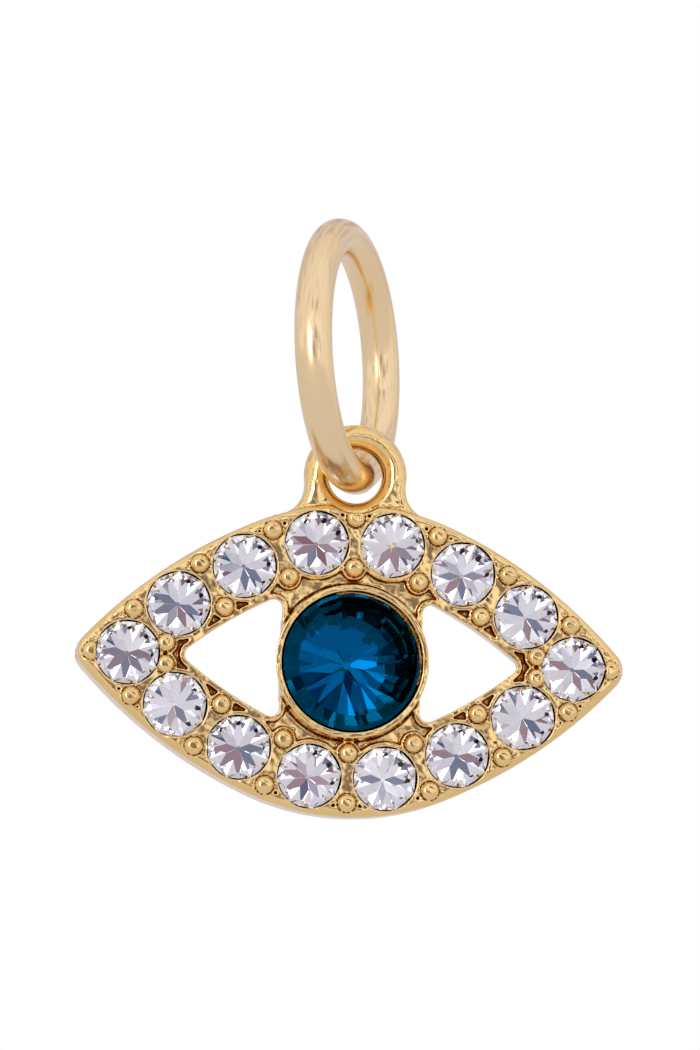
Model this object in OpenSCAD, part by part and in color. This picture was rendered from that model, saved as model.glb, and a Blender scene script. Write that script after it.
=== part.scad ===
// Evil eye charm: a cast almond set with round stones, hanging from a jump ring.
// Lengths are in millimetres. The origin is the inside top of the ring, where a chain carries it.
// The eye is drawn lying face up round its own middle, then stood up to face -Y.

/* [Eye] */
// Width of the almond from tip to tip
eye_w = 17.54; // [16.8:0.02:18.6]
// Height of the almond
eye_h = 10.04; // [9.7:0.02:10.4]
// Radius of the brow, the tighter curve over the middle
brow_r = 7.96; // [7.5:0.02:8.4]
// Angle through which half of the brow turns
brow_turn = 23.5; // [21:0.5:26]
// Radius of the two tips
tip_r = 0.7; // [0.55:0.05:0.85]
// Width of the band between the outer edge and a window
band_w = 2.5; // [2.42:0.02:2.6]
// Thickness of the cast band
plate_t = 1.6; // [1.5:0.05:2]
// Rounding of the band's front edge
edge_r = 0.25; // [0.15:0.05:0.3]
// Radius in the corners of a window
window_r = 0.28; // [0.2:0.02:0.34]
// Width of the web that joins the bezel to the band above and below it
web_w = 4.5; // [4.3:0.02:4.7]

/* [Clear stones] */
// Diameter of a clear stone
clear_d = 2.1; // [1.9:0.02:2.14]
// Metal left between a clear stone's seat and the band's outer edge
seat_wall = 0.08; // [0.06:0.01:0.12]
// How far the middle of a tip stone lies in from the tip
tip_inset = 1.6; // [1.55:0.01:1.66]
// Depth of a clear stone's girdle below the front of the band
clear_depth = 0.12; // [0.08:0.01:0.2]
// Gap between a stone and its seat
stone_gap = 0.04; // [0.03:0.005:0.06]

/* [Prong beads] */
// Diameter of a bead
bead_d = 0.58; // [0.5:0.01:0.6]
// Distance from a bead's middle to the nearer edge of the band
bead_inset = 0.45; // [0.43:0.01:0.48]
// Gap kept between the two beads at the pointed end of a window
bead_pair_gap = 0.1; // [0.05:0.01:0.15]
// Height of a bead's post above the band
bead_post = 0.04; // [0.02:0.01:0.08]

/* [Bezel] */
// Diameter of the centre stone
centre_d = 4.4; // [4.2:0.02:4.48]
// Gap between the centre stone and the bezel's wall
bezel_gap = 0.07; // [0.04:0.01:0.1]
// Thickness of the bezel's wall
bezel_wall = 0.19; // [0.16:0.01:0.24]
// Height of the bezel's rim above the front of the band
bezel_rise = 0.5; // [0.3:0.05:0.7]
// Depth of the centre stone's girdle below the bezel's rim
centre_depth = 0.3; // [0.2:0.02:0.4]
// How far the bezel lies below the middle of the almond
bezel_drop = 0.06; // [0:0.01:0.1]
// Thickness of metal under the centre stone
cup_floor = 0.3; // [0.2:0.05:0.5]

/* [Eyelet] */
// Play between the ring's wire and the eyelet's hole
wire_play = 0.26; // [0.25:0.01:0.32]
// Width of metal round the eyelet's hole
eyelet_wall = 0.8; // [0.7:0.02:0.9]
// Thickness of the eyelet from front to back
eyelet_t = 1.1; // [1:0.05:1.15]
// Metal between the eyelet's hole and the top edge of the almond
eyelet_rise = 0.09; // [0.05:0.01:0.2]
// Radius of the hollow where the neck runs into the almond
neck_fillet = 1; // [0.8:0.05:1.1]

/* [Jump ring] */
// Outer diameter of the ring
ring_d = 8.9; // [8.2:0.05:9.4]
// Diameter of the wire
wire_d = 1.2; // [1.1:0.02:1.3]
// Angle of the ring away from straight front to back
ring_turn = 21.5; // [18:0.5:22]
// Angle by which the top of the ring leans to the left
ring_lean = 4; // [0:0.5:4]
// Angle round the ring from its lowest point back to the eyelet
ring_slide = 6; // [0:1:8]
// Width of the split at the bottom of the ring
split_w = 0.1; // [0.06:0.01:0.16]
// Gap between the wire and the top of the eyelet's hole
hang_gap = 0.24; // [0.22:0.01:0.25]

/* [Hidden] */
$fn = 96;
eps = 0.01;
reach = 40;

// Clear stones on one quarter of the almond, and on the whole of it with both tips
quarter_stones = 3;
clear_stones = 4 * quarter_stones + 2;

// Outline: a brow arc, then a flatter flank arc that runs into the tip arc
half_w = eye_w / 2;
half_h = eye_h / 2;
brow_c = [0, half_h - brow_r];
brow_dir = [sin(brow_turn), cos(brow_turn)];
brow_end = brow_c + brow_r * brow_dir;
tip_c = [half_w - tip_r, 0];
tip_chord = brow_end - tip_c;
flank_r = (tip_chord * tip_chord - tip_r * tip_r) / (2 * (tip_chord * brow_dir - tip_r));
flank_c = brow_end - flank_r * brow_dir;
flank_turn = atan2(tip_c.x - flank_c.x, tip_c.y - flank_c.y);
rim_w = 2 * edge_r;

// Stone rows: they follow the outline at a constant distance, at equal steps
row_inset = seat_wall + stone_gap + clear_d / 2;
row_brow = (brow_r - row_inset) * brow_turn * PI / 180;
row_meet = acos(-flank_c.y / (flank_r - row_inset));
row_flank = (flank_r - row_inset) * (row_meet - brow_turn) * PI / 180;
row_step = (row_brow + row_flank) / (quarter_stones + 0.5);
tip_stone_x = half_w - tip_inset;

// Shape of a cut stone, as shares of its diameter
table_share = 0.28;
crown_share = 0.16;
girdle_share = 0.03;
pavilion_share = 0.42;
culet_share = 0.03;
// Where the crown's main facets meet, as shares of the radius and of the crown's height
crown_bend_r = 0.8;
crown_bend_h = 0.59;
main_facets = 8;
girdle_facets = 16;

// Bezel, and the narrower cup behind it as a share of the bezel's radius
cup_share = 0.55;
bezel_in_r = centre_d / 2 + bezel_gap;
bezel_r = bezel_in_r + bezel_wall;
centre_girdle_z = bezel_rise - centre_depth;
cup_z = centre_girdle_z - stone_depth(centre_d) - stone_gap - cup_floor;
cup_r = cup_share * bezel_r;

// Ring: the directions along it and up it, its middle, and where the eyelet hangs on its wire
wire_r = wire_d / 2;
ring_r = (ring_d - wire_d) / 2;
split_angle = split_w / 2 / ring_r * 180 / PI;
ring_side = [sin(ring_turn), cos(ring_turn), 0];
ring_up = [-sin(ring_lean) * cos(ring_turn), sin(ring_lean) * sin(ring_turn), cos(ring_lean)];
ring_c = (wire_r - ring_r) * ring_up;
hang_p = ring_c + ring_r * (sin(ring_slide) * ring_side - cos(ring_slide) * ring_up);

// Eyelet, and the neck's half width as a share of the eyelet's radius
neck_share = 0.975;
eyelet_in_r = wire_r + wire_play;
eyelet_r = eyelet_in_r + eyelet_wall;
eyelet_c = [0, half_h + eyelet_rise + eyelet_in_r];
neck_half_w = neck_share * eyelet_r;
eye_place = hang_p - [0, 0, wire_play - hang_gap + eyelet_c.y];

function stone_depth(d) = (girdle_share + pavilion_share) * d;
function two_digits(n) = str(n < 10 ? "0" : "", n);
function stone_name(i) = str("clear_stone_", two_digits(i + 1));

// Point at a distance along a line that follows the outline at an inset from it
function along_row(distance, inset) =
    let (brow_angle = distance / row_brow * brow_turn,
         flank_angle = brow_turn + (distance - row_brow) / row_flank * (row_meet - brow_turn))
    distance < row_brow
        ? brow_c + (brow_r - inset) * [sin(brow_angle), cos(brow_angle)]
        : flank_c + (flank_r - inset) * [sin(flank_angle), cos(flank_angle)];

// Middles of the clear stones: both tips, then the rows from the middle outwards
SIDES = [-1, 1];
STONE_PLACES = concat(
    [for (side = SIDES) [side * tip_stone_x, 0]],
    [for (n = [0 : quarter_stones - 1], up = [1, -1], side = SIDES)
        let (p = along_row((n + 0.5) * row_step, row_inset)) [side * p.x, up * p.y]]);

// Middles of the beads: one outside each tip stone, then one in each step of the rows
function bead_row(inset) =
    [for (n = [0 : quarter_stones], up = SIDES, side = (n == 0 ? [1] : SIDES))
        let (p = along_row(n * row_step, inset))
        [side * p.x, up * max(p.y, (bead_d + bead_pair_gap) / 2)]];
BEAD_PLACES = concat(
    [for (side = SIDES) [side * (half_w - bead_inset), 0]],
    bead_row(bead_inset),
    bead_row(band_w - bead_inset));

// Flat outline of the almond, drawn smaller all round by an inset
module almond(inset, corner_r) {
    flank = flank_r - inset;
    corner_x = flank_c.x + sqrt(pow(flank - corner_r, 2) - pow(flank_c.y, 2));
    turn = atan2(corner_x - flank_c.x, -flank_c.y);
    for (up = [0, 1], side = [0, 1]) mirror([0, up]) mirror([side, 0])
        intersection() {
            union() {
                sector(brow_c, brow_r - inset, 0, brow_turn);
                sector(flank_c, flank, brow_turn, turn);
            }
            square([half_w, half_h]);
        }
    for (side = SIDES) translate([side * corner_x, 0]) circle(corner_r);
}

// Slice of a disc between two angles counted from +Y towards +X
module sector(centre, r, from, to) {
    intersection() {
        translate(centre) circle(r);
        polygon([centre, centre + reach * [sin(from), cos(from)], centre + reach * [sin(to), cos(to)]]);
    }
}

// Section of the band's edge, with its front corner rounded
module rim_section() {
    square([rim_w - edge_r, plate_t]);
    square([rim_w, plate_t - edge_r]);
    translate([rim_w - edge_r, plate_t - edge_r]) circle(edge_r);
}

// Edge of the band along one arc, between two angles counted from +Y towards +X
module rim_arc(centre, r, from, to) {
    translate([centre.x, centre.y, -plate_t])
        rotate(90 - to) rotate_extrude(angle = to - from) translate([r - rim_w, 0]) rim_section();
}

module rim() {
    for (up = [0, 1]) mirror([0, up, 0]) {
        rim_arc(brow_c, brow_r, -brow_turn, brow_turn);
        for (side = [0, 1]) mirror([side, 0, 0]) rim_arc(flank_c, flank_r, brow_turn, flank_turn);
    }
    for (side = [0, 1]) mirror([side, 0, 0]) rim_arc(tip_c, tip_r, flank_turn, 180 - flank_turn);
}

// Room for a stone: a straight wall round the girdle, then a cone under it
module seat(d, girdle_z, gap, opening) {
    ledge_z = girdle_z - girdle_share * d - stone_gap;
    cone_h = pavilion_share * d;
    translate([0, 0, ledge_z]) cylinder(r = d / 2 + gap, h = opening - ledge_z);
    translate([0, 0, ledge_z - cone_h])
        cylinder(r1 = culet_share * d + stone_gap, r2 = d / 2 + stone_gap, h = cone_h + eps);
}

// Cut stone with its girdle's top at zero: table, crown, girdle and pointed back
module cut_stone(d) {
    r = d / 2;
    hull() {
        facet_ring(table_share * d, crown_share * d, main_facets, 0);
        facet_ring(crown_bend_r * r, crown_bend_h * crown_share * d, main_facets, 0.5);
        facet_ring(r, 0, girdle_facets, 0);
        facet_ring(r, -girdle_share * d, girdle_facets, 0);
        facet_ring(culet_share * d, -stone_depth(d), main_facets, 0);
    }
}

// Thin polygon that gives a stone's hull one ring of corners
module facet_ring(r, z, sides, turn) {
    translate([0, 0, z - (z > 0 ? eps : 0)])
        rotate(turn * 360 / sides) cylinder(r = r, h = eps, $fn = sides);
}

module bead() {
    r = bead_d / 2;
    rotate_extrude() {
        intersection() {
            translate([0, bead_post]) circle(r);
            translate([0, bead_post]) square(r);
        }
        translate([0, -plate_t / 2]) square([r, plate_t / 2 + bead_post]);
    }
}

module bezel_cup() {
    translate([0, -bezel_drop, 0]) {
        translate([0, 0, -plate_t]) cylinder(r = bezel_r, h = plate_t + bezel_rise);
        translate([0, 0, cup_z]) cylinder(r1 = cup_r - edge_r, r2 = cup_r, h = -plate_t - cup_z + eps);
    }
}

// Neck and eyelet: a rounded ring on a straight foot that widens into the almond
module eyelet() {
    side_r = eyelet_wall / 2;
    translate([eyelet_c.x, eyelet_c.y, -plate_t / 2])
        rotate_extrude() translate([eyelet_in_r + side_r, 0]) {
            for (z = SIDES) translate([0, z * (eyelet_t / 2 - side_r)]) circle(side_r);
            square([eyelet_wall, eyelet_t - eyelet_wall], center = true);
        }
    translate([0, 0, -plate_t / 2 - eyelet_t / 2]) linear_extrude(eyelet_t) neck();
}

module neck() {
    fillet_x = neck_half_w + neck_fillet;
    fillet_y = brow_c.y + sqrt(pow(brow_r + neck_fillet, 2) - fillet_x * fillet_x);
    foot_y = half_h - row_inset;
    difference() {
        translate([-fillet_x, foot_y]) square([2 * fillet_x, fillet_y - foot_y]);
        for (side = SIDES) translate([side * fillet_x, fillet_y]) circle(neck_fillet + eps);
    }
    translate([-neck_half_w, foot_y]) square([2 * neck_half_w, eyelet_c.y - foot_y]);
}

// Hole through the neck, widening towards both faces like the eyelet's own rounding
module eyelet_bore() {
    side_r = eyelet_wall / 2;
    translate([eyelet_c.x, eyelet_c.y, -plate_t / 2]) rotate_extrude() difference() {
        translate([0, -eyelet_t / 2 - eps]) square([eyelet_in_r + side_r, eyelet_t + 2 * eps]);
        for (z = SIDES) translate([eyelet_in_r + side_r, z * (eyelet_t / 2 - side_r)]) circle(side_r);
        translate([eyelet_in_r, side_r - eyelet_t / 2]) square([side_r, eyelet_t - eyelet_wall]);
    }
}

// Half of the hole inside the band: beside the web, with its two upper and lower corners rounded
module window() {
    corner_x = web_w / 2 + window_r;
    corner_y = flank_c.y + sqrt(pow(flank_r - band_w - window_r, 2) - pow(corner_x - flank_c.x, 2));
    meet = flank_c + (flank_r - band_w) / (flank_r - band_w - window_r) * ([corner_x, corner_y] - flank_c);
    difference() {
        almond(band_w, window_r);
        translate([-reach + web_w / 2, -reach / 2]) square(reach);
        for (up = [0, 1]) mirror([0, up])
            polygon([[0, corner_y], [corner_x, corner_y], meet, [meet.x, half_h], [0, half_h]]);
        translate([0, -bezel_drop]) circle(bezel_r);
    }
    for (up = SIDES) translate([corner_x, up * corner_y]) circle(window_r);
}

module windows() {
    translate([0, 0, -plate_t - eps]) linear_extrude(plate_t + 2 * eps)
        for (side = [0, 1]) mirror([side, 0]) window();
}

// Stands the eye up under the ring, facing -Y
module upright() {
    translate(eye_place) rotate([90, 0, 0]) translate([0, 0, plate_t / 2]) children();
}

module eye_frame() {
    color("goldenrod") upright() difference() {
        union() {
            difference() {
                union() {
                    translate([0, 0, -plate_t]) linear_extrude(plate_t) almond(edge_r, tip_r - edge_r);
                    rim();
                }
                windows();
            }
            bezel_cup();
            eyelet();
            for (p = BEAD_PLACES) translate(p) bead();
        }
        eyelet_bore();
        for (p = STONE_PLACES) translate(p) seat(clear_d, -clear_depth, stone_gap, plate_t);
        translate([0, -bezel_drop, 0]) seat(centre_d, centre_girdle_z, bezel_gap, plate_t);
    }
}

module centre_stone() {
    color("mediumblue") upright()
        translate([0, -bezel_drop, centre_girdle_z]) cut_stone(centre_d);
}

module clear_stone(i) {
    color("lavender") upright() translate(STONE_PLACES[i]) translate([0, 0, -clear_depth])
        cut_stone(clear_d);
}

module jump_ring() {
    color("goldenrod") translate(ring_c) rotate(90 - ring_turn) rotate([90 - ring_lean, 0, 0])
        rotate(ring_slide + split_angle - 90) rotate_extrude(angle = 360 - 2 * split_angle)
            translate([ring_r, 0]) circle(wire_r);
}

eye_frame();
centre_stone();
for (i = [0 : clear_stones - 1])
    clear_stone(i);
jump_ring();
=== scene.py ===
"""Evil eye charm: a gold-plated cast almond set with foiled glass stones, on a jump ring."""
import bmesh
import bpy
from math import acos, atan2, cos, pi, radians, sin, sqrt
from mathutils import Matrix, Vector
from random import Random


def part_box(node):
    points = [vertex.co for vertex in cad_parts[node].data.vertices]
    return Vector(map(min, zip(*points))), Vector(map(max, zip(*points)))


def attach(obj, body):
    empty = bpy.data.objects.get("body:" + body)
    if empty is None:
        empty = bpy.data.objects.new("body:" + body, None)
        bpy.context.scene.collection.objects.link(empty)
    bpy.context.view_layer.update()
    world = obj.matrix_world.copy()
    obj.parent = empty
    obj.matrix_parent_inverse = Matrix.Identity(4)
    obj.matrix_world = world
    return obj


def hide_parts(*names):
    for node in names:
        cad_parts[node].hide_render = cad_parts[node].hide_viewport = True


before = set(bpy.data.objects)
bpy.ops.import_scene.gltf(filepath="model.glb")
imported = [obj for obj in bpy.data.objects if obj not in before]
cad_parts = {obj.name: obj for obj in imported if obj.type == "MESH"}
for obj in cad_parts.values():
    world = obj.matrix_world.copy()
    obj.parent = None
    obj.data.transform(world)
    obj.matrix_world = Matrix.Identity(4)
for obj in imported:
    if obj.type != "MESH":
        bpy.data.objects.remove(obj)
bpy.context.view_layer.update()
bpy.ops.object.select_all(action="DESELECT")

# Pieces are modelled lying face up in millimetres, then stood up in the frame, which is in metres
MM = 0.001

# Casting: the almond's arcs and walls
EYE_H = 10.04
BROW_R = 7.96
BROW_TURN = radians(23.5)
TIP_R = 0.7
BAND_W = 2.5
PLATE_T = 1.6
EDGE_R = 0.22
SEAT_WALL = 0.08
QUARTER_STONES = 3
WEB_W = 4.5
WINDOW_R = 0.28
WINDOW_DRAFT = 0.18

# Casting: relief on the band's front, and the share of its depth where the windows' draft starts
RIM_W = 0.3
WINDOW_RIM_W = 0.17
LIP_W = 0.08
RELIEF_DEPTH = 0.28
BRIDGE_W = 0.5
DRAFT_FROM = 0.9

# Prong beads
BEAD_R = 0.29
BEAD_INSET = 0.45
BEAD_RISE = 0.26
BEAD_ROUND = 0.17
BEAD_PAIR_GAP = 0.1
GROOVE_W = 0.055
GROOVE_DEPTH = 0.1
COLLAR_W = 0.04

# Bezel, the sloping skirt round its foot, and the cup behind it
BEZEL_GAP = 0.07
BEZEL_WALL = 0.19
BEZEL_RISE = 0.5
BEZEL_DROP = 0.06
BEZEL_DRAFT = 0.22
SKIRT_W = 0.13
SKIRT_BELOW = 0.05
CENTRE_DEPTH = 0.3
CUP_FLOOR = 0.3
CUP_SHARE = 0.55

# Eyelet and its neck, whose edges are rounded where they turn by more radians than NECK_SHARP
WIRE_PLAY = 0.26
EYELET_WALL = 0.8
EYELET_T = 1.1
EYELET_RISE = 0.09
NECK_SHARE = 0.975
NECK_FILLET = 1.0
NECK_ROUND = 0.3
NECK_SHARP = 1.2

# Stones: depths and gaps in millimetres, cuts as shares of the stone's width
STONE_GAP = 0.04
SEAT_GAP = -0.01
CLEAR_DEPTH = 0.12
CLEAR_TABLE_R = 0.4
CLEAR_CROWN = 0.08
CLEAR_BACK = 0.46
CENTRE_CROWN = 0.1
CENTRE_BACK = 0.43
GIRDLE_SHARE = 0.03
CULET_SHARE = 0.03
FACETS = 8

# How far out from the table, and down the crown, the stars end, as shares
STAR_OUT = 0.55
STAR_DOWN = 0.5

# How far out from the culet the halves of a stone's back start, as a share of its radius
CLEAR_REACH = 0.4
CENTRE_REACH = 0.25

# Degrees by which the clear stones were set facing down and to the right, from least to most
TILT_DOWN = (-1, 5)
TILT_RIGHT = (-5, 1)

# Turn of the blue stone in its seat, and its tilt down and to the right
CENTRE_TURN = radians(9)
CENTRE_TILT = (radians(-2), radians(2))

# Past which y of its normal a facet carries foil, or is a smooth crown's slope
FOIL_PAST = -0.05
SLOPE_PAST = -0.98

# Jump ring
WIRE_R = 0.6
RING_TURN = radians(21.5)
RING_LEAN = radians(4)
RING_SLIDE = radians(6)
SPLIT_W = 0.1
SPLIT_LEAN = 0.06
LEAN_REACH = 3.0

# Fineness of the casting's skin, and how many triangles it keeps
SKIN_MM = 0.035
SKIN_TRIANGLES = 185000

# Cutters: the heights of their tops over the casting's front, and a depth that cuts through
POCKET_TOP = 1
CUTTER_TOP = 2
DRILL_TOP = 3
THROUGH = 6.0

# How far welded parts reach into each other, what counts as one place, and the finest cut
OVERLAP = 0.01
TOUCH = 0.001
HAIR = 0.00001

# A height inside both cuts of stone
INSIDE_Z = -0.2

# Steps of an outline's arc and of the round tools
ARC_STEPS = 24
DRILL_STEPS = 64
EYELET_STEPS = 96
BEZEL_STEPS = 128

# What the frame gives
frame_lo, frame_hi = (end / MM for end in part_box("eye_frame"))
ring_lo, ring_hi = (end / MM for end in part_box("jump_ring"))
HALF_W = (frame_hi.x - frame_lo.x) / 2
HALF_H = EYE_H / 2
EYE_PLACE = Vector(((frame_hi.x + frame_lo.x) / 2, frame_lo.y + BEZEL_RISE, frame_lo.z + HALF_H))
CLEAR_NODES = sorted(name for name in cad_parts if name.startswith("clear_stone"))


def stone_width(node):
    """Width of a stone's solid."""
    lo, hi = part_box(node)
    return (hi.x - lo.x) / MM


def stone_place(node):
    """Middle of a stone on the lying eye."""
    lo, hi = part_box(node)
    middle = (lo + hi) / 2 / MM
    return Vector((middle.x - EYE_PLACE.x, middle.z - EYE_PLACE.z))


CLEAR_D = stone_width(CLEAR_NODES[0])
CENTRE_D = stone_width("centre_stone")
STONE_PLACES = [stone_place(node) for node in CLEAR_NODES]

# Outline arcs: brow, flank and tip, each running into the next
brow_c = Vector((0, HALF_H - BROW_R))
brow_dir = Vector((sin(BROW_TURN), cos(BROW_TURN)))
brow_end = brow_c + BROW_R * brow_dir
tip_c = Vector((HALF_W - TIP_R, 0))
chord = brow_end - tip_c
FLANK_R = (chord.length_squared - TIP_R**2) / (2 * (chord.dot(brow_dir) - TIP_R))
flank_c = brow_end - FLANK_R * brow_dir

# Rows of stones and beads, at even steps along the band
ROW_INSET = SEAT_WALL + STONE_GAP + CLEAR_D / 2
row_meet = acos(-flank_c.y / (FLANK_R - ROW_INSET))
row_brow = (BROW_R - ROW_INSET) * BROW_TURN
row_flank = (FLANK_R - ROW_INSET) * (row_meet - BROW_TURN)
ROW_STEP = (row_brow + row_flank) / (QUARTER_STONES + 0.5)

BEZEL_PLACE = Vector((0, -BEZEL_DROP))
BEZEL_R = CENTRE_D / 2 + BEZEL_GAP + BEZEL_WALL
CENTRE_GIRDLE_Z = BEZEL_RISE - CENTRE_DEPTH
EYELET_IN_R = WIRE_R + WIRE_PLAY
EYELET_R = EYELET_IN_R + EYELET_WALL
EYELET_Y = HALF_H + EYELET_RISE + EYELET_IN_R
RING_R = ((ring_hi.z - ring_lo.z) / 2 - WIRE_R) / cos(RING_LEAN)
RING_PLACE = (ring_hi + ring_lo) / 2


def along_row(distance, inset):
    """Point at a distance along the band, at an inset from its outer edge."""
    if distance < row_brow:
        turn = distance / row_brow * BROW_TURN
        return brow_c + (BROW_R - inset) * Vector((sin(turn), cos(turn)))
    turn = BROW_TURN + (distance - row_brow) / row_flank * (row_meet - BROW_TURN)
    return flank_c + (FLANK_R - inset) * Vector((sin(turn), cos(turn)))


def bead_pairs(up):
    """Outer and inner bead of each step along the upper or the lower row."""
    for n in range(QUARTER_STONES + 1):
        outer = along_row(n * ROW_STEP, BEAD_INSET)
        inner = along_row(n * ROW_STEP, BAND_W - BEAD_INSET)
        inner.y = max(inner.y, BEAD_R + BEAD_PAIR_GAP / 2)
        for side in (1,) if n == 0 else (1, -1):
            yield Vector((side * outer.x, up * outer.y)), Vector((side * inner.x, up * inner.y))


def bead_places(up):
    """Middles of the beads of one row, with one of the two tip beads."""
    pairs = [place for pair in bead_pairs(up) for place in pair]
    return pairs + [Vector((up * (HALF_W - BEAD_INSET), 0))]


# Workshop steps

def just_made():
    """The piece that was added or edited last, no longer selected."""
    made = bpy.context.object
    made.select_set(False)
    return made


def pick(kind, test):
    """Selects the faces or edges of the open mesh that pass a test."""
    bpy.ops.mesh.select_mode(type=kind)
    bpy.ops.mesh.select_all(action="DESELECT")
    mesh = bpy.context.object.data
    open_mesh = bmesh.from_edit_mesh(mesh)
    for item in open_mesh.faces if kind == "FACE" else open_mesh.edges:
        if test(item):
            item.select_set(True)
    bmesh.update_edit_mesh(mesh)


def finish_mesh():
    """Turns the open mesh's faces outwards and leaves edit mode."""
    bpy.ops.mesh.select_all(action="SELECT")
    bpy.ops.mesh.normals_make_consistent(inside=False)
    bpy.ops.object.mode_set(mode="OBJECT")
    return just_made()


def draw_outline(start, arcs):
    """Draws a closed outline: a point carried clockwise round one centre after another."""
    bpy.ops.mesh.primitive_plane_add(size=1, enter_editmode=True, location=(start.x, start.y, 0))
    bpy.ops.mesh.select_mode(type="VERT")
    bpy.ops.mesh.merge(type="CENTER")
    for centre, turn in arcs:
        middle = (centre.x, centre.y, 0)
        bpy.ops.mesh.spin(steps=ARC_STEPS, angle=turn, center=middle, axis=(0, 0, 1))
    bpy.ops.mesh.select_all(action="SELECT")
    bpy.ops.mesh.remove_doubles(threshold=TOUCH)
    bpy.ops.mesh.edge_face_add()


def extrude_outline(top, depth):
    """Raises the drawn outline to top and extrudes it down into a plate."""
    bpy.ops.transform.translate(value=(0, 0, top))
    bpy.ops.mesh.extrude_region_move(TRANSFORM_OT_translate={"value": (0, 0, -depth)})


def almond(inset, tip_r, top, depth):
    """Plate of the almond's outline, drawn smaller all round by an inset, left in edit mode."""
    tip = Vector((flank_c.x + sqrt((FLANK_R - inset - tip_r) ** 2 - flank_c.y**2), 0))
    turn = atan2(tip.x - flank_c.x, -flank_c.y)
    half = [
        (brow_c, BROW_TURN),
        (flank_c, turn - BROW_TURN),
        (tip, pi - 2 * turn),
        (Vector((flank_c.x, -flank_c.y)), turn - BROW_TURN),
        (Vector((0, -brow_c.y)), BROW_TURN),
    ]
    other = [(-centre, turn) for centre, turn in half]
    draw_outline(brow_c + Vector((0, BROW_R - inset)), half + other)
    extrude_outline(top, depth)


def window(inset, top, depth, side, draft=0):
    """Plate of one window's outline, drawn smaller by an inset and wider at its foot by a draft."""
    corner_r = WINDOW_R - inset
    reach = FLANK_R - BAND_W - inset
    corner_x = WEB_W / 2 + inset + corner_r
    corner_y = flank_c.y + sqrt((reach - corner_r) ** 2 - (corner_x - flank_c.x) ** 2)
    corner_turn = atan2(corner_x - flank_c.x, corner_y - flank_c.y)
    point = Vector((flank_c.x + sqrt((reach - corner_r) ** 2 - flank_c.y**2), 0))
    point_turn = atan2(point.x - flank_c.x, -flank_c.y)
    arcs = [
        (Vector((corner_x, corner_y)), pi / 2 + corner_turn),
        (flank_c, point_turn - corner_turn),
        (point, pi - 2 * point_turn),
        (Vector((flank_c.x, -flank_c.y)), point_turn - corner_turn),
        (Vector((corner_x, -corner_y)), pi / 2 + corner_turn),
    ]
    draw_outline(Vector((corner_x - corner_r, corner_y)), arcs)
    extrude_outline(top, depth)
    half_x = (point.x + WINDOW_R - WEB_W / 2) / 2
    bpy.ops.transform.resize(
        value=(1 + draft / half_x, 1 + draft / corner_y, 1),
        center_override=(WEB_W / 2 + half_x, 0, top),
    )
    bpy.ops.mesh.select_all(action="SELECT")
    if side < 0:
        bpy.ops.transform.mirror(constraint_axis=(True, False, False), center_override=(0, 0, 0))
    return finish_mesh()


def windows(inset, top, depth, draft=0):
    """The right window's plate and the left one's, as one tool."""
    return gather(window(inset, top, depth, side, draft) for side in (1, -1))


def post(place, radius, top, depth, vertices=48):
    """Round post or drill, from top down."""
    bpy.ops.mesh.primitive_cylinder_add(
        vertices=vertices, radius=radius, depth=depth, location=(place.x, place.y, top - depth / 2)
    )
    return just_made()


def cone(place, low_r, high_r, low_z, high_z, vertices=48):
    """Upright cone with its top and point cut off."""
    bpy.ops.mesh.primitive_cone_add(
        vertices=vertices, radius1=low_r, radius2=high_r, depth=high_z - low_z,
        location=(place.x, place.y, (low_z + high_z) / 2),
    )
    return just_made()


def block(low_y, high_y, half_x):
    """Block of the eyelet's thickness, halfway down the plate."""
    bpy.ops.mesh.primitive_cube_add(size=1, location=(0, (high_y + low_y) / 2, -PLATE_T / 2))
    made = just_made()
    made.scale = (2 * half_x, high_y - low_y, EYELET_T)
    return made


def work(piece, tool, operation):
    """Joins a tool to a piece, or cuts it away, and uses the tool up."""
    step = piece.modifiers.new(operation, "BOOLEAN")
    step.operation = operation
    step.solver = "MANIFOLD"
    step.object = tool
    bpy.context.view_layer.objects.active = piece
    bpy.ops.object.modifier_apply(modifier=step.name)
    bpy.data.objects.remove(tool)


def weld_on(piece, tool):
    """Joins a tool to a piece."""
    work(piece, tool, "UNION")


def cut_away(piece, tool):
    """Takes a tool's shape out of a piece."""
    work(piece, tool, "DIFFERENCE")


def gather(tools):
    """Takes tools that stay clear of each other as one."""
    tools = list(tools)
    for tool in tools:
        tool.select_set(True)
    bpy.context.view_layer.objects.active = tools[0]
    bpy.ops.object.join()
    tools[0].select_set(False)
    return tools[0]


def settle(piece):
    """Puts a piece's place, turn and size into its mesh."""
    piece.select_set(True)
    bpy.context.view_layer.objects.active = piece
    bpy.ops.object.transform_apply(location=True, rotation=True, scale=True)
    piece.select_set(False)


def stand_up(piece):
    """Sets a finished piece upright in the frame, in metres."""
    piece.matrix_world = (
        Matrix.Translation(EYE_PLACE * MM)
        @ Matrix.Rotation(pi / 2, 4, "X")
        @ Matrix.Scale(MM, 4)
        @ piece.matrix_world
    )
    settle(piece)


def smooth_shading(piece):
    """Lets a round surface look round between its faces."""
    piece.select_set(True)
    bpy.ops.object.shade_smooth()
    piece.select_set(False)


def use(piece, body, slot, *nodes):
    """Rides a piece on its body in place of the solids it stands for."""
    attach(piece, body)
    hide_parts(*nodes)


# Casting

def plate():
    """The almond with its front edge rounded."""
    almond(0, TIP_R, 0, PLATE_T)
    pick("EDGE", lambda e: all(v.co.z > -TOUCH for v in e.verts) and len(e.link_faces) == 2)
    bpy.ops.mesh.bevel(offset=EDGE_R, segments=6, affect="EDGES")
    return finish_mesh()


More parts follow.
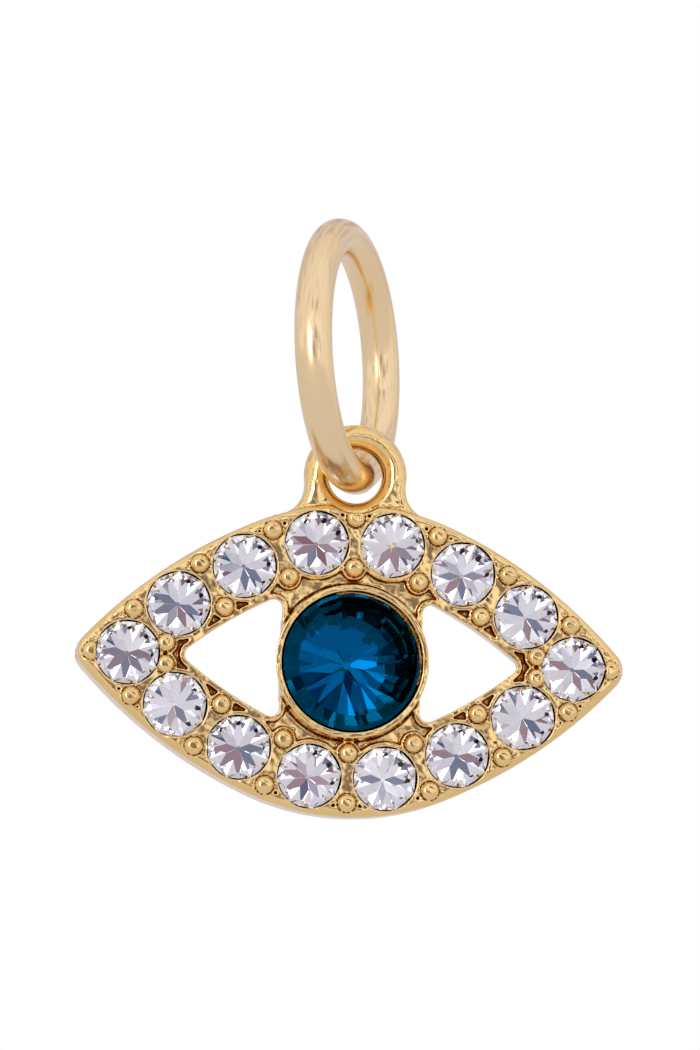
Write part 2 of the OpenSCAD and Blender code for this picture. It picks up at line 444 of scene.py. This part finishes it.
def bridge(outer, inner):
    """Flat strip of metal between two neighbouring stones."""
    middle = (outer + inner) / 2
    across = inner - outer
    bpy.ops.mesh.primitive_cube_add(size=1, location=(middle.x, middle.y, 0))
    strip = just_made()
    strip.scale = (across.length, BRIDGE_W, THROUGH)
    strip.rotation_euler.z = atan2(across.y, across.x)
    return strip


def relief_tool():
    """What sinks between the rims: the band's floor, less the lips, bridges and collars."""
    almond(RIM_W, TIP_R - RIM_W, POCKET_TOP, POCKET_TOP + RELIEF_DEPTH)
    tool = finish_mesh()
    lip_r = CLEAR_D / 2 + STONE_GAP + LIP_W
    collar_r = BEAD_R + GROOVE_W + COLLAR_W
    cut_away(tool, windows(-WINDOW_RIM_W, CUTTER_TOP, THROUGH))
    cut_away(tool, gather(post(place, lip_r, CUTTER_TOP, THROUGH) for place in STONE_PLACES))
    for up in (1, -1):
        cut_away(tool, gather(bridge(outer, inner) for outer, inner in bead_pairs(up)))
        cut_away(tool, gather(post(place, collar_r, CUTTER_TOP, THROUGH) for place in bead_places(up)))
    cut_away(tool, post(BEZEL_PLACE, BEZEL_R, CUTTER_TOP, THROUGH))
    return tool


def bead(place):
    """One prong bead: a post with a domed head."""
    made = post(place, BEAD_R, BEAD_RISE, BEAD_RISE + PLATE_T / 2, vertices=32)
    bpy.context.view_layer.objects.active = made
    bpy.ops.object.mode_set(mode="EDIT")
    pick("EDGE", lambda e: all(v.co.z > 0 for v in e.verts) and len(e.link_faces) == 2)
    bpy.ops.mesh.bevel(offset=BEAD_ROUND, segments=7, affect="EDGES")
    return finish_mesh()


def groove_tool(place):
    """Ring cut round a bead's foot."""
    tool = post(place, BEAD_R + GROOVE_W, POCKET_TOP, POCKET_TOP + GROOVE_DEPTH)
    cut_away(tool, post(place, BEAD_R, CUTTER_TOP, THROUGH))
    return tool


def bezel(piece):
    """Welds on the bezel, narrower towards the back, and the skirt round its foot."""
    skirt = cone(
        BEZEL_PLACE, BEZEL_R + SKIRT_W, BEZEL_R - OVERLAP, -PLATE_T / 2, BEZEL_RISE - SKIRT_BELOW,
        BEZEL_STEPS,
    )
    cut_away(skirt, windows(0, POCKET_TOP, THROUGH))
    weld_on(piece, skirt)
    low_z = -PLATE_T + OVERLAP
    weld_on(piece, cone(BEZEL_PLACE, BEZEL_R - BEZEL_DRAFT, BEZEL_R, low_z, BEZEL_RISE, BEZEL_STEPS))


def cup():
    """Closed cup behind the bezel, which leaves room for the blue stone's point."""
    radius = CUP_SHARE * BEZEL_R
    stone_z = CENTRE_GIRDLE_Z - (GIRDLE_SHARE + CENTRE_BACK) * CENTRE_D
    return cone(BEZEL_PLACE, radius - EDGE_R, radius, stone_z - STONE_GAP - CUP_FLOOR, -PLATE_T + OVERLAP)


def eyelet():
    """Round eyelet, thicker than it is wide."""
    side_r = EYELET_WALL / 2
    bpy.ops.mesh.primitive_torus_add(
        major_radius=EYELET_IN_R + side_r, minor_radius=side_r, major_segments=EYELET_STEPS,
        minor_segments=32, location=(0, EYELET_Y, -PLATE_T / 2),
    )
    made = just_made()
    made.scale.z = EYELET_T / EYELET_WALL
    settle(made)
    return made


def neck():
    """Stem under the eyelet, widening into the almond by a fillet on each side."""
    half = NECK_SHARE * EYELET_R
    fillet_x = half + NECK_FILLET
    fillet_y = brow_c.y + sqrt((BROW_R + NECK_FILLET) ** 2 - fillet_x**2)
    foot_y = HALF_H - ROW_INSET
    made = block(foot_y, fillet_y, fillet_x)
    settle(made)
    for side in (1, -1):
        fillet = Vector((side * fillet_x, fillet_y))
        cut_away(made, post(fillet, NECK_FILLET, CUTTER_TOP, THROUGH, DRILL_STEPS))
    weld_on(made, block(foot_y, EYELET_Y, half))
    bpy.ops.object.mode_set(mode="EDIT")
    pick("EDGE", on_neck_outline)
    bpy.ops.mesh.bevel(offset=NECK_ROUND, segments=4, affect="EDGES")
    return finish_mesh()


def on_neck_outline(edge):
    """A sharp edge along the neck's front or back."""
    if len(edge.link_faces) != 2 or edge.calc_face_angle() < NECK_SHARP:
        return False
    heights = [v.co.z + PLATE_T / 2 for v in edge.verts]
    return abs(heights[0] - heights[1]) < TOUCH and abs(abs(heights[0]) - EYELET_T / 2) < TOUCH


def seat_drill(place, width, girdle_z, gap):
    """Drill for a stone's girdle."""
    ledge = girdle_z - GIRDLE_SHARE * width - STONE_GAP
    return post(place, width / 2 + gap, DRILL_TOP, DRILL_TOP - ledge, DRILL_STEPS)


def countersink(place, width, girdle_z, back_share):
    """Cone for a stone's pointed back."""
    ledge = girdle_z - GIRDLE_SHARE * width - STONE_GAP
    return cone(
        place, CULET_SHARE * width + STONE_GAP, width / 2 + STONE_GAP,
        ledge - back_share * width, ledge + OVERLAP,
    )


def skin(piece):
    """Gives the casting one continuous skin, with its inner corners filled a little as metal flows."""
    remesh = piece.modifiers.new("Cast skin", "REMESH")
    remesh.mode = "VOXEL"
    remesh.voxel_size = SKIN_MM
    smooth = piece.modifiers.new("Polish", "SMOOTH")
    smooth.factor = 0.5
    smooth.iterations = 2
    thin = piece.modifiers.new("Thin out", "DECIMATE")
    bpy.context.view_layer.objects.active = piece
    bpy.ops.object.modifier_apply(modifier=remesh.name)
    bpy.ops.object.modifier_apply(modifier=smooth.name)
    triangles = sum(len(face.vertices) - 2 for face in piece.data.polygons)
    thin.ratio = min(1, SKIN_TRIANGLES / triangles)
    bpy.ops.object.modifier_apply(modifier=thin.name)
    smooth_shading(piece)


def mark_shade_in_corners(piece):
    """Marks the skin darker in its inner corners, where the gold gets painted shade."""
    bpy.context.view_layer.objects.active = piece
    bpy.ops.paint.vertex_color_dirt(
        blur_strength=1.0, blur_iterations=1, clean_angle=pi, dirt_angle=0.0,
        dirt_only=False, normalize=True,
    )
    piece.data.color_attributes.active_color.name = "shade_mask"


def casting():
    """The whole casting, lying face up with its front at height 0."""
    made = plate()
    cut_away(made, relief_tool())
    cut_away(made, windows(0, POCKET_TOP, POCKET_TOP + RELIEF_DEPTH))
    cut_away(made, windows(0, -DRAFT_FROM * RELIEF_DEPTH, PLATE_T, WINDOW_DRAFT))
    for up in (1, -1):
        cut_away(made, gather(groove_tool(place) for place in bead_places(up)))
        weld_on(made, gather(bead(place) for place in bead_places(up)))
    bezel(made)
    weld_on(made, cup())
    weld_on(made, neck())
    inside_eyelet_r = EYELET_IN_R + EYELET_WALL / 2
    cut_away(made, post(Vector((0, EYELET_Y)), inside_eyelet_r, CUTTER_TOP, THROUGH, EYELET_STEPS))
    weld_on(made, eyelet())
    clear = (CLEAR_D, -CLEAR_DEPTH)
    cut_away(made, gather(seat_drill(place, *clear, SEAT_GAP) for place in STONE_PLACES))
    cut_away(made, gather(countersink(place, *clear, CLEAR_BACK) for place in STONE_PLACES))
    cut_away(made, seat_drill(BEZEL_PLACE, CENTRE_D, CENTRE_GIRDLE_Z, BEZEL_GAP))
    cut_away(made, countersink(BEZEL_PLACE, CENTRE_D, CENTRE_GIRDLE_Z, CENTRE_BACK))
    skin(made)
    # Marks the inner corners where painted shade darkens the gold
    mark_shade_in_corners(made)
    made.name = "casting"
    return made


# Stones

def corner(radius, height, turn):
    """Corner of a cut stone, with its turn counted in facets."""
    angle = turn * 2 * pi / FACETS
    return Vector((radius * cos(angle), radius * sin(angle), height))


def cut_facet(a, b, c):
    """Grinds the open stone flat through three corners, keeping the side of its middle."""
    face = (b - a).cross(c - a).normalized()
    if face.dot(a - Vector((0, 0, INSIDE_Z))) < 0:
        face.negate()
    bpy.ops.mesh.select_all(action="SELECT")
    bpy.ops.mesh.bisect(plane_co=a, plane_no=face, use_fill=True, clear_outer=True, threshold=HAIR)


def blank(width, crown_share, back_share):
    """Round rod of glass that a stone is cut from, left in edit mode."""
    crown = crown_share * width
    bottom = -(GIRDLE_SHARE + back_share) * width
    bpy.ops.mesh.primitive_cylinder_add(
        vertices=96, radius=width / 2, depth=crown - bottom, location=(0, 0, (crown + bottom) / 2),
        enter_editmode=True,
    )


def cut_crown(width):
    """Grinds the front: stars round the table, mains below them, halves down to the girdle."""
    r = width / 2
    crown = CLEAR_CROWN * width
    table_r = CLEAR_TABLE_R * width
    star_r = table_r + (r - table_r) * STAR_OUT
    star_z = crown * (1 - STAR_DOWN)
    for k in range(FACETS):
        table = corner(table_r, crown, k)
        star = corner(star_r, star_z, k + 0.5)
        cut_facet(table, corner(table_r, crown, k + 1), star)
        cut_facet(table, star, corner(star_r, star_z, k - 0.5))
        for side in (0, 1):
            cut_facet(star, corner(r, 0, k + side), corner(r, 0, k + 0.5))


def on_table_rim(edge):
    """An edge round the flat front of an uncut rod."""
    return all(v.co.z > 0 for v in edge.verts) and any(len(f.verts) > 4 for f in edge.link_faces)


def round_crown(width):
    """Grinds the front to a smooth slope in two steps instead."""
    pick("EDGE", on_table_rim)
    bpy.ops.mesh.bevel(offset=CENTRE_CROWN * width, segments=2, affect="EDGES")


def cut_back(width, back_share, half_reach):
    """Grinds the pointed back: mains from the culet, and two halves below each girdle step."""
    r = width / 2
    girdle = -GIRDLE_SHARE * width
    bottom = girdle - back_share * width
    culet_r = CULET_SHARE * width
    slope = (girdle - bottom) / (r - culet_r)
    half_r = half_reach * r
    half_z = bottom + (half_r * cos(pi / FACETS) - culet_r) * slope
    for k in range(FACETS):
        edge = corner(r, girdle, k)
        across = corner(r, bottom, k + FACETS / 4) - corner(0, bottom, 0)
        cut_facet(edge, edge + across, corner(culet_r, bottom, k))
        half = corner(half_r, half_z, k + 0.5)
        for side in (0, 1):
            cut_facet(half, corner(r, girdle, k + side), corner(r, girdle, k + 0.5))


def clear_cut():
    """The clear stones' cut, with facets round a wide table."""
    blank(CLEAR_D, CLEAR_CROWN, CLEAR_BACK)
    cut_crown(CLEAR_D)
    cut_back(CLEAR_D, CLEAR_BACK, CLEAR_REACH)
    return finish_stone()


def centre_cut():
    """The blue stone's cut, smooth in front and faceted behind."""
    blank(CENTRE_D, CENTRE_CROWN, CENTRE_BACK)
    round_crown(CENTRE_D)
    cut_back(CENTRE_D, CENTRE_BACK, CENTRE_REACH)
    return finish_stone()


def finish_stone():
    """Ends the cutting, with the origin on the stone's axis, level with the front of its girdle."""
    stone = finish_mesh()
    settle(stone)
    return stone


def place_stone(pattern, name, place, girdle_z, turn, tilt):
    """Copies a cut stone, turns and tilts it as it was set, and stands it up in its seat."""
    stone = pattern.copy()
    stone.data = pattern.data.copy()
    stone.name = name
    bpy.context.collection.objects.link(stone)
    stone.matrix_world = (
        Matrix.Translation((place.x, place.y, girdle_z))
        @ Matrix.Rotation(tilt[0], 4, "X")
        @ Matrix.Rotation(tilt[1], 4, "Y")
        @ Matrix.Rotation(turn, 4, "Z")
    )
    stand_up(stone)
    return stone


def foil_back(stone, glass, foil, shaded_slope_glass=None):
    """Glass in front, foil behind the girdle, and on the slope of a smooth crown a darker copy of the
    glass, as painted shade.
    """
    for finish in (glass, foil, shaded_slope_glass):
        if finish:
            stone.data.materials.append(finish)
    for face in stone.data.polygons:
        if face.normal.y > FOIL_PAST:
            face.material_index = 1
        elif shaded_slope_glass and face.normal.y > SLOPE_PAST:
            face.material_index = 2


# Jump ring

def jump_ring():
    """Wire bent round a mandrel, its two cut ends left a little out of line."""
    gap = SPLIT_W / 2 / RING_R
    start = Vector((sin(gap), 0, -cos(gap))) * RING_R
    bpy.ops.mesh.primitive_circle_add(
        vertices=40, radius=WIRE_R, fill_type="NGON", enter_editmode=True,
        location=start, rotation=(0, pi / 2 - gap, 0),
    )
    bpy.ops.mesh.spin(steps=192, angle=2 * pi - 2 * gap, center=(0, 0, 0), axis=(0, -1, 0))
    for side in (1, -1):
        pick("FACE", lambda f: len(f.verts) > 4 and f.calc_center_median().x * side > 0)
        bpy.ops.transform.translate(
            value=(0, -side * SPLIT_LEAN, 0),
            use_proportional_edit=True, use_proportional_connected=True,
            proportional_size=LEAN_REACH, proportional_edit_falloff="SMOOTH",
        )
    return finish_mesh()


def hang_ring(ring):
    """Stands the ring in the frame as it hangs: slid round, leaning and turned."""
    ring.matrix_world = (
        Matrix.Translation(RING_PLACE * MM)
        @ Matrix.Rotation(pi / 2 - RING_TURN, 4, "Z")
        @ Matrix.Rotation(-RING_LEAN, 4, "X")
        @ Matrix.Rotation(-RING_SLIDE, 4, "Y")
        @ Matrix.Scale(MM, 4)
        @ ring.matrix_world
    )
    settle(ring)


# Materials

# The colour sockets of a Mix node, which has others of the same names
COLOUR_A = 6
COLOUR_B = 7
COLOUR_OUT = 2


def hex_colour(code):
    """Linear colour of an sRGB hex value."""
    channels = [int(code[i : i + 2], 16) / 255 for i in (1, 3, 5)]
    return [c / 12.92 if c <= 0.04045 else ((c + 0.055) / 1.055) ** 2.4 for c in channels] + [1]


def every(gap_mm):
    """Scale of a noise whose spots lie so many millimetres apart."""
    return 1 / (gap_mm * MM)


def feed(tree, node, sockets):
    """Sets a node's sockets to values, or links them to what feeds them."""
    for name, value in sockets.items():
        if isinstance(value, bpy.types.NodeSocket):
            tree.links.new(value, node.inputs[name])
        else:
            node.inputs[name].default_value = value


def add_node(tree, kind, sockets=None, **settings):
    """Adds a node with its settings, values and links."""
    node = tree.nodes.new(kind)
    for name, value in settings.items():
        setattr(node, name, value)
    feed(tree, node, sockets or {})
    return node


def new_material(name):
    """A new material, its nodes and its shader."""
    material = bpy.data.materials.new(name)
    material.use_nodes = True
    return material, material.node_tree, material.node_tree.nodes["Principled BSDF"]


def gold_casting():
    """Gold plate on a die casting of zinc alloy.

    To the eye it is bright and a little wavy, with soft reflections. Its corners are painted dark brown,
    as painted shade for the dim reflections there.
    """
    material, tree, shader = new_material("gold_plated_casting")
    where = add_node(tree, "ShaderNodeTexCoord").outputs["Object"]
    # Swells of the cast skin under the plate, at their real 0.8 mm
    swell = add_node(tree, "ShaderNodeTexNoise", {"Vector": where, "Scale": every(0.8), "Detail": 2.0})
    # Patches of about 1.2 mm where the barrel polished it less and the plate is paler
    patch = add_node(tree, "ShaderNodeTexNoise", {"Vector": where, "Scale": every(1.2), "Detail": 3.0})
    # Grit of the mould, drawn at 0.07 mm, coarser than the real one, so that a pixel shows it
    grit = add_node(tree, "ShaderNodeTexNoise", {"Vector": where, "Scale": every(0.07), "Detail": 2.0})
    # The shade mask is lowest in the corners, where dark brown painted shade goes over the gold, with a
    # ragged edge
    shade_mask = add_node(tree, "ShaderNodeAttribute", attribute_name="shade_mask")
    ragged = add_node(
        tree, "ShaderNodeMapRange",
        {"Value": grit.outputs["Fac"], "From Min": 0.3, "From Max": 0.7, "To Max": 0.04},
    )
    mark = add_node(
        tree, "ShaderNodeMath", {0: shade_mask.outputs["Fac"], 1: ragged.outputs["Result"]},
        operation="SUBTRACT",
    )
    shade_amount = add_node(
        tree, "ShaderNodeMapRange",
        {"Value": mark.outputs["Value"], "From Min": 0.51, "From Max": 0.44},
    )
    gold = add_node(
        tree, "ShaderNodeMix",
        {
            "Factor": patch.outputs["Fac"],
            COLOUR_A: hex_colour("#f0ca84"),
            COLOUR_B: hex_colour("#fadc9e"),
        },
        data_type="RGBA",
    )
    # Painted shade: dark brown mixed into the gold where the mask is lowest
    shaded_gold = add_node(
        tree, "ShaderNodeMix",
        {
            "Factor": shade_amount.outputs["Result"],
            COLOUR_A: gold.outputs[COLOUR_OUT],
            COLOUR_B: hex_colour("#6a3608"),
        },
        data_type="RGBA",
    )
    rough = add_node(
        tree, "ShaderNodeMapRange", {"Value": patch.outputs["Fac"], "To Min": 0.04, "To Max": 0.1},
    )
    wave = add_node(
        tree, "ShaderNodeBump",
        {"Height": swell.outputs["Fac"], "Strength": 0.9, "Distance": 0.07 * MM},
    )
    fine = add_node(
        tree, "ShaderNodeBump",
        {
            "Height": grit.outputs["Fac"], "Strength": 0.1, "Distance": 0.006 * MM,
            "Normal": wave.outputs["Normal"],
        },
    )
    feed(tree, shader, {
        "Base Color": shaded_gold.outputs[COLOUR_OUT], "Metallic": 1.0,
        "Roughness": rough.outputs["Result"], "Normal": fine.outputs["Normal"],
    })
    return material


def gold_wire():
    """Gold plate on drawn brass wire.

    To the eye it is satin, paler than the casting, with long soft reflections and a fine grain.
    """
    material, tree, shader = new_material("gold_plated_wire")
    where = add_node(tree, "ShaderNodeTexCoord").outputs["Object"]
    # Unevenness of the bent wire, at its real 0.9 mm
    swell = add_node(tree, "ShaderNodeTexNoise", {"Vector": where, "Scale": every(0.9), "Detail": 2.0})
    # Matt grain of the plating, drawn at 0.06 mm, coarser than the real one, so that a pixel shows it
    grain = add_node(tree, "ShaderNodeTexNoise", {"Vector": where, "Scale": every(0.06), "Detail": 1.0})
    rough = add_node(
        tree, "ShaderNodeMapRange", {"Value": swell.outputs["Fac"], "To Min": 0.16, "To Max": 0.26},
    )
    wave = add_node(
        tree, "ShaderNodeBump",
        {"Height": swell.outputs["Fac"], "Strength": 0.4, "Distance": 0.02 * MM},
    )
    matt = add_node(
        tree, "ShaderNodeBump",
        {
            "Height": grain.outputs["Fac"], "Strength": 0.35, "Distance": 0.004 * MM,
            "Normal": wave.outputs["Normal"],
        },
    )
    feed(tree, shader, {
        "Base Color": hex_colour("#f7dcae"), "Metallic": 1.0,
        "Roughness": rough.outputs["Result"], "Normal": matt.outputs["Normal"],
    })
    return material


def crystal(name, colour, streak, index, sheen="#ffffff"):
    """Lead glass, pressed, then ground and polished.

    To the eye it is sharp-edged and clear, with a little unevenness in its colour. Sheen is the
    tint of what its surface reflects.
    """
    material, tree, shader = new_material(name)
    where = add_node(tree, "ShaderNodeTexCoord").outputs["Object"]
    # Streaks of the melt, about 1 mm apart
    melt = add_node(tree, "ShaderNodeTexNoise", {"Vector": where, "Scale": every(1.0), "Detail": 2.0})
    # Polishing marks, drawn at 0.05 mm, coarser than the real ones, so that a pixel shows them
    marks = add_node(tree, "ShaderNodeTexNoise", {"Vector": where, "Scale": every(0.05), "Detail": 1.0})
    body = add_node(
        tree, "ShaderNodeMix",
        {"Factor": melt.outputs["Fac"], COLOUR_A: hex_colour(colour), COLOUR_B: hex_colour(streak)},
        data_type="RGBA",
    )
    rough = add_node(
        tree, "ShaderNodeMapRange",
        {"Value": marks.outputs["Fac"], "From Min": 0.6, "From Max": 0.8, "To Max": 0.04},
    )
    feed(tree, shader, {
        "Base Color": body.outputs[COLOUR_OUT], "Roughness": rough.outputs["Result"],
        "Transmission Weight": 1.0, "IOR": index, "Specular Tint": hex_colour(sheen),
    })
    return material


def silver_foil():
    """Silvered and lacquered back of a chaton, seen through its glass.

    To the eye it is a mirror, faintly mottled where the lacquer is thin.
    """
    material, tree, shader = new_material("silver_foil")
    where = add_node(tree, "ShaderNodeTexCoord").outputs["Object"]
    # Mottling of the lacquer, about 0.3 mm from spot to spot
    spots = add_node(tree, "ShaderNodeTexNoise", {"Vector": where, "Scale": every(0.3), "Detail": 2.0})
    silver = add_node(
        tree, "ShaderNodeMix",
        {
            "Factor": spots.outputs["Fac"],
            COLOUR_A: hex_colour("#ffffff"),
            COLOUR_B: hex_colour("#f5f5fa"),
        },
        data_type="RGBA",
    )
    rough = add_node(
        tree, "ShaderNodeMapRange", {"Value": spots.outputs["Fac"], "To Min": 0.01, "To Max": 0.05},
    )
    feed(tree, shader, {
        "Base Color": silver.outputs[COLOUR_OUT], "Metallic": 1.0,
        "Roughness": rough.outputs["Result"],
    })
    return material


# Studio: a white light tent over pale paper, sizes in metres
FLOOR_SIZE = 3
FLOOR_Z = -0.06
KEY_TURN = radians(-26)
KEY_RISE = radians(7)
KEY_AWAY = 0.5
KEY_SIZE = 0.2
KEY_WATTS = 0.25

# Linear light of the tent, brighter than a surface colour can be, and so not given in hex
TENT_WHITE = (1.16, 1.14, 1.17, 1)
TENT_SLATE = (0.09, 0.11, 0.2, 1)
TENT_PLUM = (0.26, 0.14, 0.16, 1)
PLAIN_WHITE = (1, 1, 1, 1)

# Camera: the photograph's frame is 700 x 1050 pixels
PX_PER_MM = 31.25
PHOTO_W = 700
PHOTO_H = 1050
BEZEL_PX = Vector((351.2, 662.4))
CAMERA_TURN = radians(-5)
CAMERA_RISE = radians(-4.5)
CAMERA_ROLL = radians(1.9)
CAMERA_MM = 300
SENSOR_MM = 36


def direction(turn, rise):
    """Direction from the charm, turned to the right of its front and raised above level."""
    return Vector((sin(turn) * cos(rise), -cos(turn) * cos(rise), sin(rise)))


def floor():
    """Matt white paper that the charm hangs over."""
    bpy.ops.mesh.primitive_plane_add(size=FLOOR_SIZE, location=(0, 0, FLOOR_Z))
    made = just_made()
    made.name = "floor"
    material, tree, shader = new_material("pale_paper")
    feed(tree, shader, {"Base Color": hex_colour("#eeeeee"), "Roughness": 0.9})
    made.data.materials.append(material)


def key_light():
    """Square softbox to the left of the camera, aimed at the charm."""
    bpy.ops.object.light_add(type="AREA")
    light = just_made()
    light.name = "key_left"
    light.data.size = KEY_SIZE
    light.data.energy = KEY_WATTS
    back = direction(KEY_TURN, KEY_RISE)
    light.location = EYE_PLACE * MM + KEY_AWAY * back
    light.rotation_mode = "QUATERNION"
    light.rotation_quaternion = (-back).to_track_quat("-Z", "Y")


def tent():
    """White light tent: dark where the camera looks in, and uneven where its panels end."""
    world = bpy.data.worlds.new("white_tent")
    bpy.context.scene.world = world
    world.use_nodes = True
    tree = world.node_tree
    seen = add_node(tree, "ShaderNodeLightPath").outputs["Is Camera Ray"]
    ray = add_node(tree, "ShaderNodeTexCoord").outputs["Generated"]
    # How far a direction lies from the camera's, as the cosine of the angle between them
    towards = add_node(
        tree, "ShaderNodeVectorMath", {0: ray, 1: direction(CAMERA_TURN, CAMERA_RISE)},
        operation="DOT_PRODUCT",
    ).outputs["Value"]
    # The opening for the camera: darkest within 9 degrees of it, and closed past 18
    opening = add_node(
        tree, "ShaderNodeMapRange",
        {
            "Value": towards, "From Min": cos(radians(18)), "From Max": cos(radians(9)),
            "To Min": 1.0, "To Max": 0.1,
        },
        interpolation_type="SMOOTHSTEP",
    )
    seams = add_node(tree, "ShaderNodeTexNoise", {"Vector": ray, "Scale": 7.0, "Detail": 1.0})
    panels = add_node(
        tree, "ShaderNodeMapRange",
        {"Value": seams.outputs["Fac"], "From Min": 0.385, "From Max": 0.455},
        interpolation_type="SMOOTHSTEP",
    )
    # From 38 to 60 degrees off the camera, the panels mostly give way to an even backdrop
    cloth = add_node(
        tree, "ShaderNodeMapRange",
        {"Value": towards, "From Min": cos(radians(38)), "From Max": cos(radians(60)), "To Max": 0.7},
        interpolation_type="SMOOTHSTEP",
    )
    # The backdrop gets less light the further round behind the charm it is
    backdrop = add_node(
        tree, "ShaderNodeMapRange",
        {"Value": towards, "From Min": 0.1, "From Max": -0.8, "To Min": 0.7, "To Max": 0.38},
    )
    walls = add_node(
        tree, "ShaderNodeMix",
        {
            "Factor": cloth.outputs["Result"],
            "A": panels.outputs["Result"],
            "B": backdrop.outputs["Result"],
        },
    )
    white = add_node(
        tree, "ShaderNodeMath", {0: opening.outputs["Result"], 1: walls.outputs["Result"]},
        operation="MULTIPLY",
    )
    # What shows between the panels is slate in some places and plum in others
    blotch = add_node(tree, "ShaderNodeTexNoise", {"Vector": ray, "Scale": 11.0, "Detail": 0.0})
    hue = add_node(
        tree, "ShaderNodeMapRange",
        {"Value": blotch.outputs["Fac"], "From Min": 0.45, "From Max": 0.55},
    )
    gaps = add_node(
        tree, "ShaderNodeMix",
        {"Factor": hue.outputs["Result"], COLOUR_A: TENT_SLATE, COLOUR_B: TENT_PLUM},
        data_type="RGBA",
    )
    lit = add_node(
        tree, "ShaderNodeMix",
        {"Factor": white.outputs["Value"], COLOUR_A: gaps.outputs[COLOUR_OUT], COLOUR_B: TENT_WHITE},
        data_type="RGBA",
    )
    shown = add_node(
        tree, "ShaderNodeMix",
        {"Factor": seen, COLOUR_A: lit.outputs[COLOUR_OUT], COLOUR_B: PLAIN_WHITE},
        data_type="RGBA",
    )
    feed(tree, tree.nodes["Background"], {"Color": shown.outputs[COLOUR_OUT]})
    bpy.context.scene.view_settings.view_transform = "Standard"


def camera():
    """Camera at the photograph's viewing angle, aimed so that the bezel lies at its pixel."""
    bpy.ops.object.camera_add()
    made = just_made()
    made.data.sensor_width = SENSOR_MM
    made.data.lens = SENSOR_MM * CAMERA_MM / (PHOTO_H / PX_PER_MM)
    made.data.clip_start = 0.01
    made.data.clip_end = 10
    back = direction(CAMERA_TURN, CAMERA_RISE)
    level = Vector((0, 0, 1)).cross(back).normalized()
    upright = back.cross(level)
    right = level * cos(CAMERA_ROLL) + upright * sin(CAMERA_ROLL)
    up = back.cross(right)
    bezel_middle = EYE_PLACE - Vector((0, 0, BEZEL_DROP))
    off_centre = (BEZEL_PX - Vector((PHOTO_W, PHOTO_H)) / 2) / PX_PER_MM
    aim = bezel_middle - right * off_centre.x + up * off_centre.y
    place = (aim + back * CAMERA_MM) * MM
    turn = Matrix((right, up, back)).transposed().to_4x4()
    made.matrix_world = Matrix.Translation(place) @ turn
    bpy.context.scene.camera = made


# Assembly

cast = casting()
stand_up(cast)
cast.data.materials.clear()
cast.data.materials.append(gold_casting())
use(cast, "eye", "gold_casting", "eye_frame")

# Lead glass has an index of 1.56, but the blue stone's front mirrors less than that in the photo
clear_glass = crystal("clear_crystal", "#ffffff", "#fbfbff", index=1.56)
blue_glass = crystal("blue_crystal", "#00649c", "#005084", index=1.4, sheen="#1c4a78")
# The blue stone's crown slope gets a darker copy of its glass: painted shade for the dark surroundings
# that the slope shows
shaded_slope_glass = crystal("blue_crystal_slope_shade", "#00303e", "#00242e", index=1.2, sheen="#0c3c46")
foil = silver_foil()

dice = Random(11)
pattern = clear_cut()
for number, place in enumerate(STONE_PLACES, 1):
    tilt = (radians(dice.uniform(*TILT_DOWN)), radians(dice.uniform(*TILT_RIGHT)))
    turn = dice.uniform(0, 2 * pi / FACETS)
    stone = place_stone(pattern, f"clear_chaton_{number:02d}", place, -CLEAR_DEPTH, turn, tilt)
    foil_back(stone, clear_glass, foil)
    use(stone, "eye", "clear_chaton", f"clear_stone_{number:02d}")
bpy.data.objects.remove(pattern)

pattern = centre_cut()
blue = place_stone(pattern, "blue_chaton", BEZEL_PLACE, CENTRE_GIRDLE_Z, CENTRE_TURN, CENTRE_TILT)
foil_back(blue, blue_glass, foil, shaded_slope_glass)
use(blue, "eye", "blue_chaton", "centre_stone")
bpy.data.objects.remove(pattern)

ring = jump_ring()
hang_ring(ring)
ring.name = "jump_ring_wire"
smooth_shading(ring)
ring.data.materials.append(gold_wire())
use(ring, "ring", "gold_wire", "jump_ring")

floor()
tent()
key_light()
camera()
